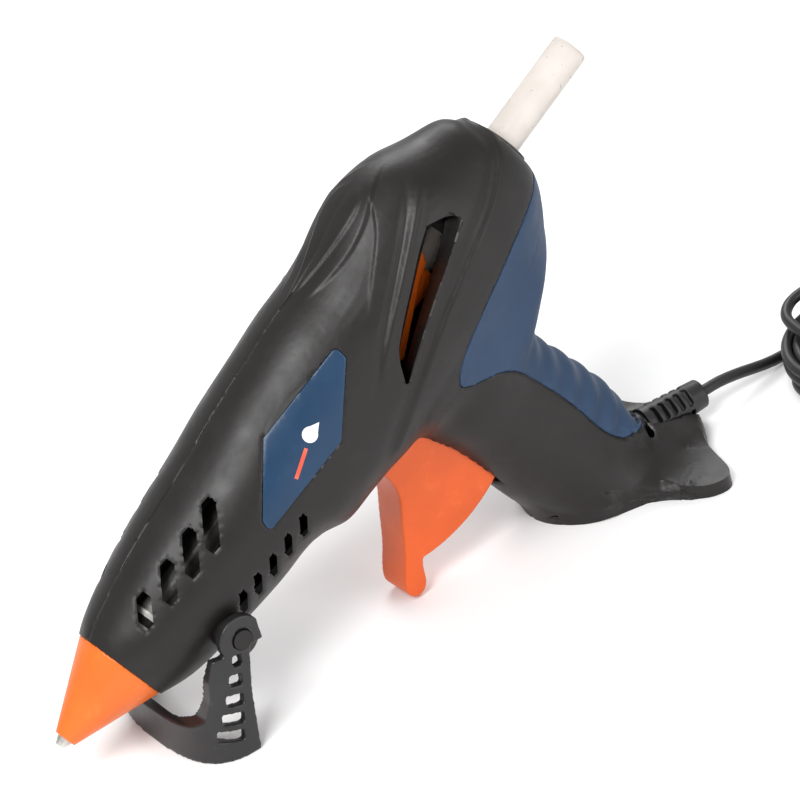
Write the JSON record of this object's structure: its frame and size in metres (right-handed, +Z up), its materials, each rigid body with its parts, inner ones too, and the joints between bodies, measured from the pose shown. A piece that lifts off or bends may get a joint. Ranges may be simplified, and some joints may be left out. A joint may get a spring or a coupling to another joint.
{
  "type": "hot-melt glue gun",
  "caption": "Corded hot-melt glue gun with a folding front stand, a trigger-driven stick feed, a soft grip and a flared foot.",
  "frame": {"origin": "on the bench under the middle of the foot, in the gun's middle plane", "axes": "+Z up from the bench, +X from the nozzle towards the foot and the cord, +Y to the gun's right"},
  "size_m": [0.3177, 0.1114, 0.1439],
  "materials": {
    "casing": "fine spark texture",
    "grip": "soft satin",
    "badge": "satin",
    "screw_steel": "zinc plated",
    "nozzle_orange": "satin",
    "nozzle_metal": "turned",
    "spring_steel": "bright",
    "chamber_metal": "cast",
    "heater_ceramic": "ceramic",
    "contact_brass": "stamped",
    "insulating_film": "film",
    "silicone": "matt",
    "glue": "translucent",
    "inner_black": "matt",
    "feed_orange": "satin",
    "trigger_orange": "satin",
    "stand_black": "satin",
    "terminal_white": "matt",
    "wire_brown": "satin",
    "wire_blue": "satin",
    "cord_rubber": "matt",
    "tie_black": "matt",
    "plug_black": "satin",
    "pin_brass": "nickel plated"
  },
  "bodies": {
    "casing": {"left_shell": "casing", "right_shell": "casing", "left_grip": "grip", "right_grip": "grip", "left_badge": "badge", "right_badge": "badge", "casing_screws": "screw_steel", "nozzle_sleeve": "nozzle_orange", "nozzle": "nozzle_metal", "nozzle_ball": "screw_steel", "nozzle_spring": "spring_steel", "melt_chamber": "chamber_metal", "heater_element": "heater_ceramic", "heater_contacts": "contact_brass", "heater_insulator": "insulating_film", "inlet_sleeve": "silicone", "sleeve_clamp": "spring_steel", "stick_guide": "inner_black", "rear_collar": "inner_black", "trigger_pin": "screw_steel", "trigger_spring": "spring_steel", "terminal_block": "terminal_white", "wire_live": "wire_brown", "wire_neutral": "wire_blue", "cord_cores": "wire_brown", "cord_clamp": "inner_black", "cord_clamp_screws": "screw_steel", "cable_gland": "cord_rubber", "power_cord": "cord_rubber", "cord_coil": "cord_rubber", "coil_tie": "tie_black", "cord_tail": "cord_rubber", "plug": "plug_black", "plug_pins": "pin_brass"},
    "trigger": {"trigger": "trigger_orange"},
    "carriage": {"feed_carriage": "feed_orange", "clamp_pin": "screw_steel", "drive_pins": "screw_steel"},
    "clamp": {"clamp_lever": "spring_steel"},
    "stand": {"stand": "stand_black"},
    "stick": {"glue_stick": "glue"}
  },
  "joints": [
    {"name": "trigger_pull", "type": "hinge", "parent": "casing", "child": "trigger", "pos_m": [-0.07788, 0, 0.06206], "axis": [0, -1, 0], "range_deg": [0, 22], "stiffness_Nm_per_rad": 0.6, "springref_deg": -8.59, "deforming": ["trigger_spring"]},
    {"name": "carriage_slide", "type": "slide", "parent": "casing", "child": "carriage", "axis": [-0.8686, 0, -0.4955], "range_m": [0, 0.0078]},
    {"name": "clamp_bite", "type": "hinge", "parent": "carriage", "child": "clamp", "pos_m": [-0.07411, 0, 0.10128], "axis": [0, -1, 0], "range_deg": [0, 3.6]},
    {"name": "stand_fold", "type": "hinge", "parent": "casing", "child": "stand", "pos_m": [-0.1475, 0, 0.0339], "axis": [0, -1, 0], "range_deg": [0, 100]},
    {"name": "stick_slide", "type": "slide", "parent": "casing", "child": "stick", "axis": [0.8686, 0, 0.4955], "range_m": [0, 0.17]}
  ],
  "couplings": [
    {"joint": "carriage_slide", "follows": "trigger_pull", "m_per_rad": 0.02005},
    {"joint": "clamp_bite", "follows": "trigger_pull", "ratio": 0.16}
  ]
}
